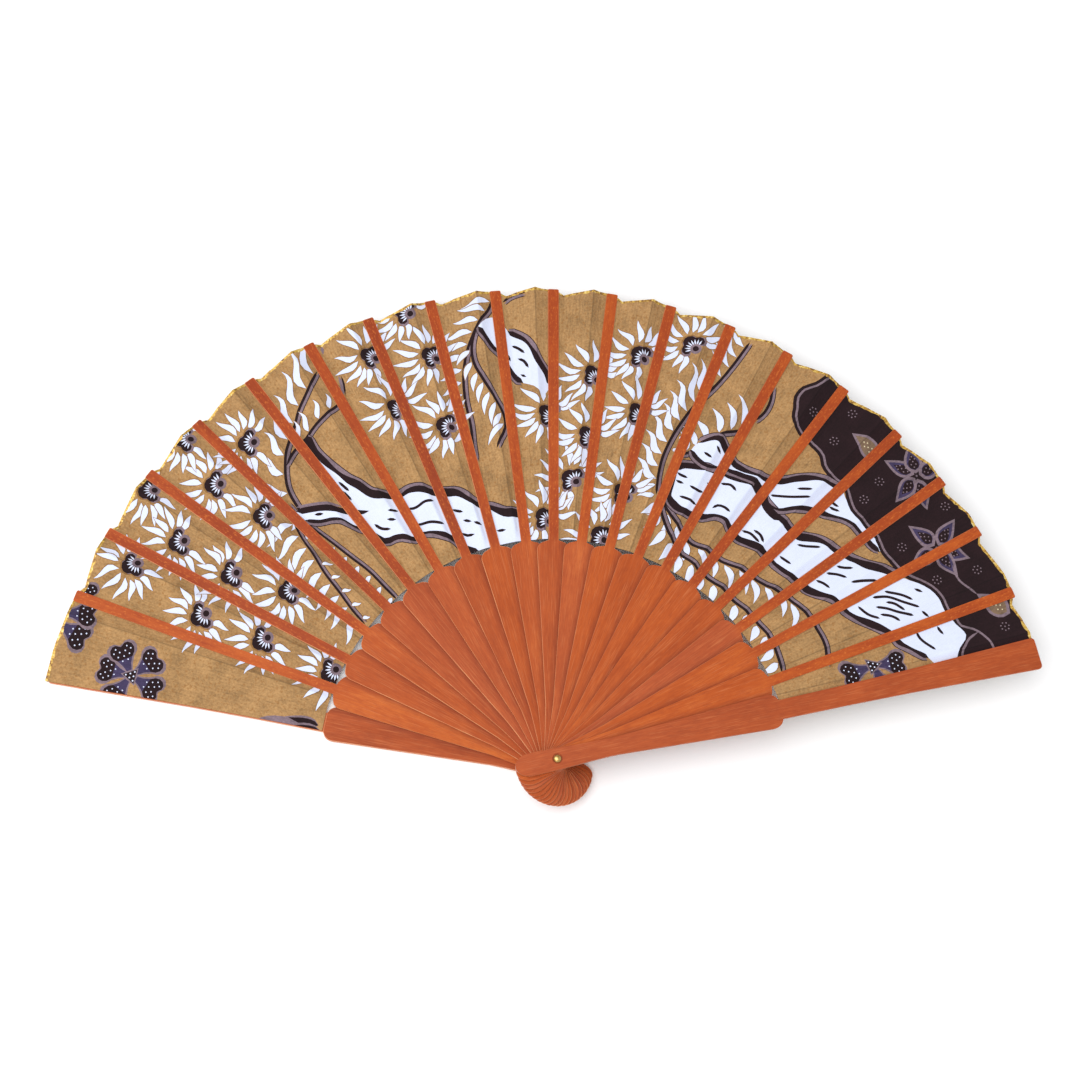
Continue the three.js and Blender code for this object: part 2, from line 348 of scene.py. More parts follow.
def mirrored(half):
    """An outline made of one half and its mirror image."""
    return np.array(half + [(x, -y) for x, y in half[::-1] if y])


def petal(base, heading, length, width, bend=0.0, sway=0.0, steps=6):
    """A white leaf with the wax's brown outline round it."""
    back = base - turned([[0.3, 0]], heading)[0]
    draw("outline", blade(back, heading, length + 0.7, width + 0.75, bend, sway, steps))
    draw("white", blade(base, heading, length, width, bend, sway, steps))


def daisy(angle, radius, size=1.0):
    """White petals round a dark, three-lobed heart, with a dark eye in the heart's notch."""
    centre = spot(angle, radius)
    eye_way = angle + EYE_TURN
    chance = random.Random(int(angle * 31 + radius * 7))
    eye_way += chance.uniform(-7, 7)
    heart = mirrored(HEART)
    for i in range(PETALS):
        way = 2 * PETAL_STEP + i * PETAL_STEP + chance.uniform(-4, 4)
        out = radians(way)
        base = turned([[0.6 + 4.7 * cos(out), 6.0 * sin(out)]], eye_way)[0] * size
        length = (8.6 + 2.0 * sin(out / 2) ** 4) * size * chance.uniform(0.88, 1.15)
        curl = chance.uniform(0.04, 0.12) * (1 if way > 180 else -1)
        heading = eye_way + way + chance.uniform(-5, 5)
        petal(centre + base, heading, length, 2.55 * size, curl, curl / 2)
    draw("outline", turned(heart * 1.2 + [-0.1, 0], eye_way) * size + centre)
    draw("mauve", turned(heart * 1.13 + [0.45, 0], eye_way) * size + centre)
    eye = centre + turned([[EYE_AT * size, 0]], eye_way)[0]
    draw("mauve", disc(eye, 2.5 * size, 16))
    draw("dark", turned(heart, eye_way) * size + centre)
    draw("mauve", disc(eye, 2.1 * size, 16))
    draw("dark", disc(eye, 1.3 * size, 12))
    for i in range(LASHES):
        way = eye_way + 110 + i * LASH_STEP
        base = eye + turned([[2.1 * size, 0]], way)[0]
        draw("white", blade(base, way, 2.5 * size, 0.68 * size, steps=4))


def heart_petal(centre, heading, size=1.0):
    """A dark, dotted petal with two lobes at its outer end, indigo near the flower's centre."""
    half = [(2.6, 1.1), (5.5, 2.0), (8.0, 3.4), (9.6, 4.9), (11.6, 5.5), (13.4, 5.0), (14.6, 3.6),
            (14.7, 2.0), (13.9, 0.8), (13.5, 0)]
    shape = mirrored(half)
    middle = np.array([9.0, 0])
    draw("mauve", turned((shape - middle) * [1.14, 1.26] + middle, heading) * size + centre)
    draw("dark", turned(shape, heading) * size + centre)
    inner = [p for p in shape if p[0] < 8.5]
    draw("indigo", turned(inner, heading) * size + centre)
    for x, y in [(9.3, 0), (9.6, 2.6), (9.6, -2.6), (11.4, 1.3), (11.4, -1.3), (11.6, 3.9), (11.6, -3.9),
                 (13.1, 2.6), (13.1, -2.6), (7.4, 1.3), (7.4, -1.2)]:
        draw("white", disc(turned([[x, y]], heading)[0] * size + centre, 0.34 * size, 6))


def heart_flower(angle, radius, turns):
    """Heart-shaped petals round a small dark triangle, at turns from the way out of the rivet."""
    centre = spot(angle, radius)
    for turn in turns:
        heart_petal(centre, angle + turn, 0.93)
    draw("mauve", disc(centre, 4.4, 3, angle))
    draw("dark", disc(centre, 3.5, 3, angle))
    for i in range(6):
        out = (1.0, 2.2)[i % 2]
        draw("white", disc(centre + turned([[out, 0]], angle + 60 * i + 60)[0], 0.36, 6))


def pointed_petal(centre, heading, length=14.0, fill="indigo", core="dark", dots="mauve"):
    """A petal of the blossoms on the dark ground: pointed, outlined, with a dotted core."""
    width = length * 0.56
    base = centre + turned([[1.2, 0]], heading)[0]
    draw("mauve", blade(base, heading, length, width, steps=9))
    draw(fill, blade(base + turned([[1.5, 0]], heading)[0], heading, length - 3.4, width - 2.4, steps=9))
    draw(core, blade(base + turned([[1.7, 0]], heading)[0], heading, length * 0.55, width - 3.4, steps=7))
    for x, y in [(3.6, 0), (5.0, 1.0), (5.0, -1.0), (6.4, 0), (7.6, 1.0), (7.6, -1.0), (8.8, 0)]:
        place = centre + turned([[x * length / 14 + 0.6, y]], heading)[0]
        draw(dots, disc(place, 0.34, 6))


def blossom(angle, radius, turns):
    """Pointed petals at turns from the way out of the rivet."""
    centre = spot(angle, radius)
    for turn in turns:
        pointed_petal(centre, angle + turn)
    draw("dark", disc(centre, 1.3, 8))
    draw("mauve", disc(centre, 0.5, 6))


def dot_ring(angle, radius):
    """Small dots in a ring on the dark ground."""
    centre = spot(angle, radius)
    for i in range(8):
        place = centre + turned([[1.75 if i else 0, 0]], i * 51.4 + angle)[0]
        draw("mauve", disc(place, 0.36, 5))


def between(upper, lower):
    """A closed outline from an upper and a lower line, both run the same way."""
    return np.vstack([curve(upper), curve(lower)[::-1]])


def wavy_edge(places, width, outer, seed, ends=2.5):
    """The dark edge of a trunk, thick and thin by turns, with a mauve line outside it."""
    line = curve(places, 1.5)
    _, _, run = sides(line)
    chance = random.Random(seed)
    phase = chance.uniform(0, 6)
    swell = width * (1 + 0.32 * np.sin(run / 5.2 + phase) + 0.15 * np.sin(run / 2.3 + 2 * phase))
    draw("dark", ribbon(line, width / 2 + 1.5, outer * (width / 4 + 0.75)))
    draw("mauve", ribbon(line, width / 2 + 1.15, outer * (width / 4 + 0.57)))
    draw("dark", ribbon(line, swell, 0.0, ends))


def grain_strokes(strokes, width=1.2):
    for places in strokes:
        draw("dark", ribbon(curve(places, 1.0), width, 0.0, 1.3))


GROUND_BORDER = [
    (55.2, 211), (56, 203.5), (57, 199), (57.2, 193), (56.5, 188), (56, 184), (54.8, 180.5), (53, 179),
    (51, 178.5), (49.6, 177), (48.6, 174), (47, 172), (45.5, 172.5), (44, 173.5), (42.6, 171), (41, 168.5),
    (39, 168), (37.2, 168.5), (35.6, 169), (34, 167.3), (32.3, 166.8), (30.4, 168), (28.6, 170), (27, 174),
    (25.5, 177), (24, 178.3), (22, 178.5), (20.5, 180), (19, 181.5), (18, 186), (17, 188.5), (15.5, 190.5),
    (13, 191),
]


def draw_dark_ground():
    """The dark ground at the right, with its border and blossoms."""
    loop = [(18.4, 188), (17.9, 183), (17, 179.5), (15.9, 176.8), (13, 175.8)]
    line = curve(GROUND_BORDER)
    corner = [spot(a, PAST_RIM) for a in (13, *range(18, 56, 6))]
    draw("dark", np.vstack([line, corner]))
    draw("dark", [spot(*place) for place in ((21, 181), (18.2, 191), (12.5, 196), (12.5, 175), (15.9, 176))])
    draw("mauve", ribbon(line, 0.95, 1.9))
    stroke("mauve", loop, 0.95, 1.7)
    blossom(39.0, 201.2, [110, 59, -9, -111, 192])
    blossom(30.1, 189.3, [110, 27, -46, -86, 189])
    stroke("mauve", [(27.2, 191.5), (25, 190.5), (22.4, 195)], 0.9)
    pointed_petal(spot(43.4, 195.5), 43.4 + 95, 16, "bark", "bark", "cream")
    pointed_petal(spot(18.7, 206), 150.5, 16.5, "bark", "bark", "cream")
    rings = [(49.5, 187), (54, 192), (50, 202.5), (41.5, 187.5), (41, 176.5), (34, 203.5), (32.5, 176),
        (26.3, 182), (25.3, 200), (17.6, 200.5)]
    for place in rings:
        dot_ring(*place)


def draw_left_trunk():
    """The trunk on the left, with its limb."""
    top = [(127, 175.5), (127.3, 168), (127, 161), (126.4, 154), (125.8, 149), (125, 145), (124, 138.5),
        (122, 134.5), (120, 131.5), (118, 132), (116, 130.5), (114, 127), (111.5, 125), (109.5, 123),
        (107.5, 118), (105.5, 114.5), (103.5, 113), (101, 109.5), (98.5, 108.5), (96, 107.5)]
    bottom = [(127.8, 173), (128.3, 160), (128.6, 149), (129, 141), (129.2, 134), (128.3, 126),
        (127, 118.5), (125, 117), (123.5, 115.5), (121.5, 112), (119, 112.5), (117.3, 111), (115.5, 108),
        (113.5, 104), (111.8, 99), (109, 95.5), (96, 95.5)]
    limb_top = [(135.6, 152), (133.5, 148), (131.8, 144.5), (130, 139.5), (128, 135), (126, 132.5)]
    limb_low = [(135.5, 147), (133.8, 142), (132.4, 139.8), (131, 136.6), (130, 131.5), (128.5, 126)]
    draw("white", between(top, bottom))
    draw("white", between(limb_top, limb_low))
    wavy_edge(top, 2.7, 1, 1, 1.0)
    wavy_edge(bottom[5:-1], 2.0, -1, 2)
    draw("dark", ribbon(curve(limb_top), 2.6, 0.4, 6.0, 1.0))
    stroke("mauve", limb_top[:4], 1.2, 2.3)
    wavy_edge(limb_low, 1.4, -1, 3)
    grain_strokes([
        [(127.2, 151), (126.7, 145)], [(127.6, 146.5), (127.3, 141)], [(133.8, 146), (132.6, 143.5)],
        [(126.6, 127), (126, 123.5), (124.6, 121)], [(119.6, 125), (118, 124), (116, 124.4), (114.4, 123)],
        [(119.6, 117), (116.8, 115.4), (114.4, 112)], [(111.6, 106), (110.4, 104), (108.8, 103.4)],
        [(111.6, 117), (109.6, 114.3)], [(108.2, 108.6), (106.6, 106.2)], [(103.6, 102.6), (101.4, 102)],
        [(123.2, 128.4), (121.4, 126)], [(124.2, 125.4), (122.8, 123)], [(110.2, 111), (108.6, 109)],
    ])


def draw_right_trunk():
    """The trunk on the right, with its branch."""
    top = [(67.8, 138), (67, 141), (65.5, 142.3), (61.5, 144.5), (59.5, 146.3), (57, 147.5), (55, 148.5),
        (53, 147), (50, 144.5), (47.5, 143.3), (45.5, 143), (43.5, 143.5), (42.3, 146), (40.5, 149),
        (38.5, 150.5), (36, 153.5), (34.5, 156), (33, 158.5), (31, 163.5), (28.8, 168.5)]
    end = [(28.4, 170), *GROUND_BORDER[23:28], (18, 183), (16.5, 178), (15.5, 176), (14, 174.5)]
    bottom = [(67.8, 138), (67.2, 131), (67, 126), (65.5, 123.3), (64, 122), (62, 122.3), (59.5, 124),
        (57.5, 127.3), (55.5, 128), (53.5, 126.3), (51.5, 125), (49.5, 125.8), (47.5, 127), (45.5, 127.5),
        (42, 127.5), (40, 128), (38, 129.3), (35.5, 130.5), (33.5, 133), (31, 138), (29, 139), (26.5, 142),
        (24.5, 146), (22, 152), (20, 154.5), (18.5, 158), (16.3, 163.5), (14, 168)]
    draw("white", np.vstack([curve(top), curve(end), curve(bottom)[::-1]]))
    branch_top = [(66.6, 149.5), (66, 153.5), (63.6, 158.5), (61.6, 156), (60, 153), (58.5, 152),
        (56.5, 152), (53.5, 154), (51.5, 157.8), (50, 162.8), (48, 167.8), (46, 170.5), (44.2, 173)]
    branch_low = [(66.6, 149.5), (65.2, 146.5), (63, 144.8), (61.5, 147), (59, 148.8), (57, 149.3),
        (54.5, 149.8), (52.6, 148.5), (51, 146), (49, 146.2), (47.4, 150.5), (45.6, 155.5), (43.8, 158.5),
        (42, 161.5), (40.3, 164), (38, 165.3), (36, 165.8), (33.6, 166.8)]
    inner = [*GROUND_BORDER[14:19], (33.8, 167.3)]
    draw("white", np.vstack([curve(branch_top), curve(inner), curve(branch_low)[::-1]]))
    wavy_edge(bottom[:-1], 2.4, -1, 5)
    wavy_edge(top, 2.6, 1, 4)
    wavy_edge(branch_low, 1.8, -1, 7)
    wavy_edge(branch_top[1:], 2.3, 1, 6)
    stroke("dark", [(55, 149.5), (52.5, 146.5), (50, 143.5), (47.5, 142.5)], 3.6)
    grain_strokes([
        [(67.3, 137.3), (65.2, 136.6)], [(67, 134), (65.4, 133.6)],
        [(64.3, 133.6), (62.8, 133), (61.5, 134)],
        [(65.2, 127.6), (63.6, 127.6), (61.5, 127.4)], [(59.6, 141.5), (58, 143), (56.6, 141.6)],
        [(58.6, 129.8), (58, 132), (56.8, 132.6), (55.4, 131.8)], [(51.6, 128.8), (50, 130), (47.6, 129)],
        [(50, 132.2), (48.4, 132), (47, 130)], [(43.2, 131.4), (40.6, 132.2)],
        [(42.6, 140.6), (41.4, 142.6), (39.6, 147)], [(35.6, 142), (34.4, 145.4), (33, 148)],
        [(35.6, 147.6), (34.6, 150), (33.8, 153)], [(35.6, 136.4), (34.4, 138.2), (33, 139)],
        [(32, 148), (31.2, 153), (30.2, 158.6)], [(28.2, 159), (26.6, 164.6), (25.2, 168)],
        [(28.2, 153), (27.2, 159), (25.4, 164), (23.8, 169)], [(26.6, 157), (25.8, 160), (24.2, 162.6)],
        [(26.6, 152), (25.6, 156), (24.4, 159.5), (23, 165)], [(25.2, 152), (24.2, 156), (23, 158.6)],
        [(28, 145.4), (26, 147.4), (24.6, 151)], [(26.6, 171), (25.6, 173.6)], [(23.2, 169), (22, 171)],
        [(20.6, 163), (19, 164.4), (17.2, 168)], [(20.4, 172.6), (19, 174)], [(44, 165), (42.6, 166.4)],
        [(43.6, 163), (42, 165)], [(64.6, 150.3), (63, 149)], [(63.2, 155), (62, 152.8)],
        [(51.6, 149.6), (49, 154), (46.6, 159.6)], [(49, 159), (47.2, 163)], [(61.8, 138.6), (60.6, 138)],
    ])


def draw_top_leaf():
    """The short trunk at the top, with its stem."""
    upper = [(99.8, 193.5), (98.6, 197), (97.2, 197.5), (96, 191.3), (95, 188.8), (94, 186.3),
        (93.2, 182.5), (92.2, 176), (91, 170.5), (90.4, 165)]
    lower = [(99.8, 193.5), (99, 188.5), (98.2, 184), (97, 180), (96.2, 173.5), (95.5, 169.5),
        (94.5, 166.5), (93, 164.5), (91.5, 160)]
    draw("white", between(upper, lower))
    wavy_edge(lower[:-2], 1.8, -1, 8, 1.5)
    wavy_edge(upper[3:], 2.2, 1, 9, 1.5)
    grain_strokes([[(95.6, 184.3), (94.8, 182.6), (94, 180)], [(95, 178), (94.2, 176.5), (93.6, 173)],
        [(96.4, 180.5), (96, 177)], [(94.8, 170.6), (94, 169)]])
    stem([(96.2, 204.5), (95.4, 206.8), (94.2, 207.8), (93.4, 207.8)])


def draw_stems():
    """The stems with their fronds, and three loose strokes."""
    rising = stem([(135.2, 149), (134, 162), (131.5, 172), (129.2, 178), (127.4, 182), (125.8, 186.5),
        (123.4, 191.5), (121, 197.5)])
    fronds(rising, 1, 50, (0.06, 0.97), 9, (12, 18.5), 3.1, sway=0.09)
    side = stem([(132, 169.5), (129.5, 173), (127.3, 174.5), (125, 177), (121.5, 179.3), (119.6, 181.5)])
    fronds(side, 1, 60, (0.3, 0.95), 5, (9.5, 7.5), 2.3, bend=-0.08)
    falling = stem([(135.6, 157), (135.8, 149), (135.4, 140), (134.9, 132), (134.3, 122), (133.6, 112),
        (133.5, 102), (133.3, 95)], 1, 0.95)
    fronds(falling, -1, 70, (0.12, 0.96), 9, (6, 5), 1.8)
    lower = stem([(137, 150), (138.2, 142), (139, 134), (140.2, 125), (141.2, 115), (142.4, 106),
        (143.2, 98)], 1, 0.95)
    fronds(lower, -1, 68, (0.02, 0.92), 9, (14, 11.5), 3.0, bend=0.07)
    fronds(lower, 1, 62, (0.42, 0.95), 5, (4.5, 3.5), 1.4)
    arch = stem([(97.3, 207), (98.2, 201), (99.6, 195.5), (101.5, 185.5), (102.8, 175), (103.5, 163),
        (103.6, 151), (104, 143), (104.4, 134)], 1)
    fronds(arch, -1, 56, (0.03, 0.82), 12, (12.5, 9), 2.7, bend=0.06, sway=0.05)
    inner = stem([(99.9, 195), (101, 186), (101.2, 178), (100.4, 170), (99.2, 161), (98.1, 153.5),
        (98.1, 147), (99.3, 142), (100.2, 138)], 1)
    fronds(inner, -1, 38, (0.2, 0.8), 8, (8.5, 11), 2.4, bend=0.10, sway=0)
    tall = stem([(69.4, 124), (70.4, 133), (70.7, 141), (70.4, 150), (69.8, 158), (68.8, 168.5),
        (67.2, 180), (66.1, 192), (65.3, 206)])
    fronds(tall, 1, 48, (0.08, 0.96), 14, (13, 20), 3.0, sway=0.09)
    fronds(tall, 1, 95, (0.0, 0.05), 2, (7, 7), 2.2)
    fronds(tall, -1, 30, (0.26, 0.5), 4, (2.4, 2.4), 1.3, sway=0, gap=3.0)
    stem([(60, 174), (59.4, 180), (59.5, 186), (60.2, 192.5)])
    arm = stem([(68, 145), (66.6, 148.5), (64.4, 158), (61.5, 166), (60.4, 169)])
    fronds(arm, 1, 84, (0.1, 0.95), 6, (9.5, 14), 3.0, bend=-0.15, sway=0)
    upper = stem([(68.5, 127), (67.2, 122), (65.2, 118.3), (62, 114), (59, 111.3), (57, 111), (54.5, 112),
        (51.5, 112), (49, 113), (46, 115), (43, 116.3), (40.5, 117.5), (38, 120), (35, 122), (32.5, 123.3),
        (30, 124.3), (27.5, 124.5), (25, 124.3), (22.5, 123), (20, 121)], 1)
    fronds(upper, -1, 54, (0.04, 0.7), 12, (9.5, 11.5), 2.8, bend=-0.17, sway=0)
    low = stem([(68.3, 121.5), (66.2, 115.5), (64, 110.5), (61.5, 107), (59, 104.5), (56.5, 104), (54, 103),
        (51, 102.4), (48.5, 102.4), (46, 103), (43, 102.6), (39.5, 103.2), (36, 104), (33, 104.4),
        (30.5, 104.6), (28, 104.4), (24.5, 103), (22, 102)], 1)
    fronds(low, -1, 66, (0.0, 0.95), 15, (9.5, 8.5), 3.3, bend=-0.08, sway=0)
    stroke("mauve", [(118.9, 207.5), (119.3, 203)], 1.6)
    stroke("mauve", [(118.9, 191.5), (119.1, 187), (119.7, 182)], 1.5)
    stroke("dark", [(118.6, 191), (118.8, 187), (119.4, 182)], 0.8)


def draw_flowers():
    """The daisies, the heart-petalled flowers, and parts of more at the edges."""
    daisies = [(155.5, 194.5), (158, 159.5), (150.2, 157), (146.7, 205.5), (150, 183), (141, 186),
        (140, 161.5), (147.5, 133), (134, 189), (139.2, 208.5), (157.7, 132), (158.3, 100.5), (114.5, 194),
        (107, 185.5), (114, 168.5), (108, 153.5), (108.5, 208), (91.3, 153), (87, 124), (92.5, 106.5),
        (84.5, 172), (78.5, 184), (72.2, 195.5), (77, 158.5), (84.5, 144), (76.3, 121.5), (79.2, 100.5)]
    for place in daisies:
        daisy(*place)
    heart_flower(168.6, 177.5, [-2, -57, -133, 160, 64])
    heart_flower(17.6, 139.5, [-10, 184, -80])
    draw("mauve", disc(spot(172.4, 113), 11, 20, 172, 0.42))
    for place, way, length in ((spot(170.6, 98), 166, 13), (spot(171.8, 97), 174, 15)):
        draw("mauve", blade(place, way, length + 1.5, 5.0))
        draw("dark", blade(place, way, length, 3.2))
    heart_petal(spot(164.6, 213), 164.6 + 164)
    heart_petal(spot(163.6, 213), 163.6 - 163)
    heart_petal(spot(160.2, 214), 160.2 + 178, 0.8)


draw_stems()
draw_flowers()
draw_dark_ground()
draw_left_trunk()
draw_right_trunk()
draw_top_leaf()


def new_object(data):
    made = bpy.data.objects.new(data.name, data)
    bpy.context.scene.collection.objects.link(made)
    return made


# ---- the leaf's meshes ----
def leaf_lines(pleat):
    """The lines that run out along a pleat, left to right: the angle of each at a radius."""
    k = pleat.k

    def slope(share):
        def line(r):
            (_, valley, ridge, _), _ = pleat.folds(r)
            return valley + (ridge - valley) * pleat.crossing(r)[share]
        return line

    def fold(index, shift):
        return lambda r: pleat.folds(r)[0][index] + shift / r

    def halfway(r):
        return (pleat.folds(r)[0][2] - FOLD_ROUND / r + pleat.folds(r)[0][3]) / 2

    def first(r):
        return pleat.edge(r, SEAM_HALF if k else FLAT_EDGE - stick_half(0, r))

    def last(r):
        return pleat.far_edge(r, SEAM_HALF if k + 1 < FRONT else FLAT_EDGE - stick_half(FRONT, r))

    folds = [fold(0, 0), fold(1, FOLD_ROUND), fold(1, 0), fold(1, -FOLD_ROUND), slope(0), slope(1),
             fold(2, FOLD_ROUND), fold(2, 0), fold(2, -FOLD_ROUND), halfway, fold(3, 0)]
    return [first, *folds, last]


def leaf_net(pleat):
    """Points of a pleat's lines and cross-lines, the edges that join them, and its outline."""
    points, columns = [], []
    chance = random.Random(pleat.k)
    for line in leaf_lines(pleat):
        column = []
        for r in [LEAF_IN, *STATIONS]:
            column.append(len(points))
            points.append(out_at(line(r), float(r)))
        angle = float(line(RIM_AT_RIB))
        r = pleat.rim(angle) + chance.uniform(-RIM_UNEVEN, RIM_UNEVEN)
        column.append(len(points))
        points.append(out_at(angle, r))
        columns.append(column)
    edges = [(a, b) for column in columns for a, b in zip(column, column[1:])]
    edges += [(a, b) for one, two in zip(columns, columns[1:]) for a, b in zip(one, two)]
    outline = columns[0][::-1] + [c[0] for c in columns[1:-1]]
    outline += columns[-1] + [c[-1] for c in columns[1:-1]][::-1]
    return points, edges, outline


def gold_band(pleat):
    """The gilt line on the rim, uneven on its inner side."""
    chance = random.Random(100 + pleat.k)
    first, last = leaf_lines(pleat)[0](RIM_AT_RIB), leaf_lines(pleat)[-1](RIM_AT_RIB)
    angles = np.linspace(float(first) + 0.004, float(last) - 0.004, 22)
    inner = [out_at(a, pleat.rim(a) - chance.uniform(*GILT)) for a in angles]
    outer = [out_at(a, PAST_RIM) for a in angles[::-1]]
    return np.vstack([inner, outer])


def near_pleat(outline, pleat):
    """Whether an outline may cross a pleat. The outer pleats run on over their guards."""
    angles = np.arctan2(outline[:, 1], outline[:, 0])
    reach = radians(5 if pleat.k in (0, FRONT - 1) else 0.5)
    return angles.max() > pleat.right - reach and angles.min() < pleat.left + reach


DYES = {
    "ground": (187, 145, 96), "outline": (156, 114, 66), "white": (243, 251, 276), "dark": (40, 22, 26),
    "mauve": (140, 120, 130), "indigo": (72, 62, 96), "bark": (134, 110, 88), "cream": (232, 216, 178),
}
COLOURS = [*DYES, "gold"]


def printed_triangles(pleat):
    """The pleat cut up along its folds and the print's outlines: points, triangles and their colours."""
    points, edges, outline = leaf_net(pleat)
    faces, colours = [outline], ["ground"]
    shapes = [s for s in print_shapes if near_pleat(s[1], pleat)] + [("gold", gold_band(pleat))]
    for colour, shape in shapes:
        faces.append(list(range(len(points), len(points) + len(shape))))
        colours.append(colour)
        points.extend(shape)
    array = np.array(points)
    for i, face in enumerate(faces):
        x, y = array[face].T
        if np.dot(x, np.roll(y, -1)) < np.dot(y, np.roll(x, -1)):
            faces[i] = face[::-1]
    inside_only, tolerance = 1, 1e-5
    corners = [Vector(p) for p in points]
    places, _, cut, _, _, cut_from = delaunay_2d_cdt(corners, edges, faces, inside_only, tolerance)
    kept, kept_colours = [], []
    for triangle, sources in zip(cut, cut_from):
        if 0 in sources and len(triangle) == 3:
            kept.append(triangle)
            kept_colours.append(COLOURS.index(colours[max(sources)]))
    used = sorted({v for t in kept for v in t})
    new = {v: i for i, v in enumerate(used)}
    flat = np.array([places[v] for v in used])
    return flat, [[new[v] for v in t] for t in kept], kept_colours


def leaf_piece(k, materials):
    """Cloth between stick k and stick k + 1, as a thin closed sheet printed on both sides."""
    pleat = Pleat(k)
    flat, triangles, colours = printed_triangles(pleat)
    r = np.linalg.norm(flat, axis=1)
    angle = np.arctan2(flat[:, 1], flat[:, 0])
    height = pleat.height(angle, r)
    count = len(flat)
    rows = [np.column_stack([flat, height + side * CLOTH / 2]) for side in (1, -1)]
    owners = {}
    for index, (a, b, c) in enumerate(triangles):
        for edge in ((a, b), (b, c), (c, a)):
            owners[edge] = index
    faces = [list(t) for t in triangles] + [[v + count for v in reversed(t)] for t in triangles]
    slots = [*colours, *colours]
    for (a, b), index in owners.items():
        if (b, a) not in owners:
            faces.append([a, a + count, b + count, b])
            slots.append(colours[index])
    mesh = bpy.data.meshes.new(f"leaf_cloth_{k + 1:02d}")
    mesh.from_pydata((np.vstack(rows) * MM).tolist(), [], faces)
    for material in materials:
        mesh.materials.append(material)
    mesh.polygons.foreach_set("material_index", slots)
    mesh.polygons.foreach_set("use_smooth", [True] * len(faces))
    mesh.set_sharp_from_angle(angle=radians(SHARP))
    middle = (pleat.left + pleat.right) / 2
    threads = np.tile(np.column_stack([(middle - angle) * r, r]) / THREAD_UNIT, (2, 1))
    corners = np.zeros(len(mesh.loops), dtype=np.int32)
    mesh.loops.foreach_get("vertex_index", corners)
    mesh.uv_layers.new(name="threads").data.foreach_set("uv", threads[corners].ravel())
    under = np.zeros(len(faces))
    under[len(triangles):2 * len(triangles)] = 1
    mesh.attributes.new("cloth_back", "FLOAT", "FACE").data.foreach_set("value", under)
    # painted shade: how far the cloth is darkened along its ridge's crease
    crease_shade = np.maximum(0, 1 - abs(angle - pleat.folds(r)[0][2]) * r / FOLD_ROUND)
    mesh.attributes.new("crease_shade", "FLOAT", "POINT").data.foreach_set("value", np.tile(crease_shade, 2))
    mesh.update()
    piece = new_object(mesh)
    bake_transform(piece)
    weights = pleat.weight(angle, r)
    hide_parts(f"leaf_pleat_{k + 1:02d}")
    inner, outer = folded_width(pleat, LEAF_IN), folded_width(pleat, RIM_AT_RIB)


def folded_width(pleat, radius):
    """Width of the flat cloth that goes into a pleat at a radius."""
    lines = leaf_lines(pleat)
    angles = np.linspace(float(lines[0](radius)), float(lines[-1](radius)), 60)
    z = pleat.sharp_height(angles, np.full_like(angles, radius))
    return float(np.sum(np.hypot(np.diff(angles) * radius, np.diff(z))))


# ---- materials ----
def linear(rgb, share=FINISH_SHARE):
    """A share of an sRGB colour, as linear RGBA. White is 255, and a bright dye may be past it."""
    light = [c / 255 / 12.92 if c < 10 else ((c / 255 + 0.055) / 1.055) ** 2.4 for c in rgb]
    return tuple(c * share for c in light) + (1,)


def scaled(colour, share, more=0):
    return tuple(c * share + more for c in colour)


